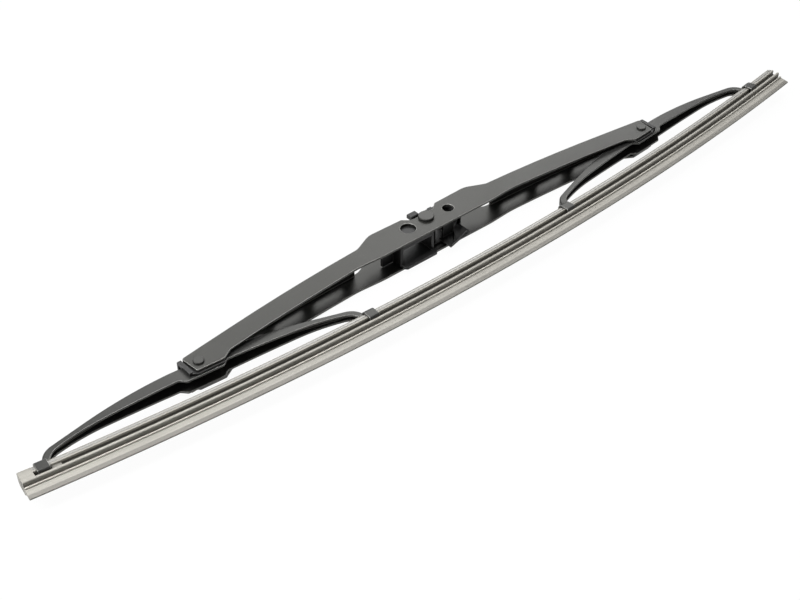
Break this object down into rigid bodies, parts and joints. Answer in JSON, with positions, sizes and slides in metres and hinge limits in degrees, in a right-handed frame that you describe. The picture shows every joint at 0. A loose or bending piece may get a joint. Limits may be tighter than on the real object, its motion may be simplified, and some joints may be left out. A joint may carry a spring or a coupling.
{
  "type": "wiper blade",
  "caption": "Bracket wiper blade: slotted bridge, pivoting yokes with claws, rubber wiping element on spring rails and a hook-arm adapter.",
  "frame": {"origin": "centre of the middle rivet, on the blade's mid-plane: the point the hook of the wiper arm turns about", "axes": "+X along the blade, +Y from the glass towards the wiper arm, +Z along the rivets; the blade lies on its side"},
  "size_m": [0.4019, 0.0458, 0.0143],
  "materials": {
    "painted_steel": "satin",
    "yoke_steel": "satin",
    "rivet_steel": "satin",
    "liner_plastic": "matte",
    "adapter_plastic": "satin",
    "rubber": "satin",
    "rail_steel": "bright"
  },
  "bodies": {
    "bridge": {"main_bridge": "painted_steel", "pivot_rivet": "rivet_steel", "left_yoke_rivet": "rivet_steel", "right_yoke_rivet": "rivet_steel", "left_liner": "liner_plastic", "right_liner": "liner_plastic", "wiping_rubber": "rubber", "upper_rail": "rail_steel", "lower_rail": "rail_steel"},
    "left_yoke": {"left_yoke": "yoke_steel"},
    "right_yoke": {"right_yoke": "yoke_steel"},
    "adapter": {"hook_adapter": "adapter_plastic"}
  },
  "joints": [
    {"name": "adapter_swing", "type": "hinge", "parent": "bridge", "child": "adapter", "pos_m": [0, 0, 0], "axis": [0, 0, 1], "range_deg": [-30, 6]},
    {"name": "left_yoke_pivot", "type": "hinge", "parent": "bridge", "child": "left_yoke", "pos_m": [-0.118, -0.0107, 0], "axis": [0, 0, 1], "range_deg": [-5, 8], "deforming": ["wiping_rubber", "upper_rail", "lower_rail"]},
    {"name": "right_yoke_pivot", "type": "hinge", "parent": "bridge", "child": "right_yoke", "pos_m": [0.118, -0.0107, 0], "axis": [0, 0, 1], "range_deg": [-8, 5], "deforming": ["wiping_rubber", "upper_rail", "lower_rail"]}
  ]
}
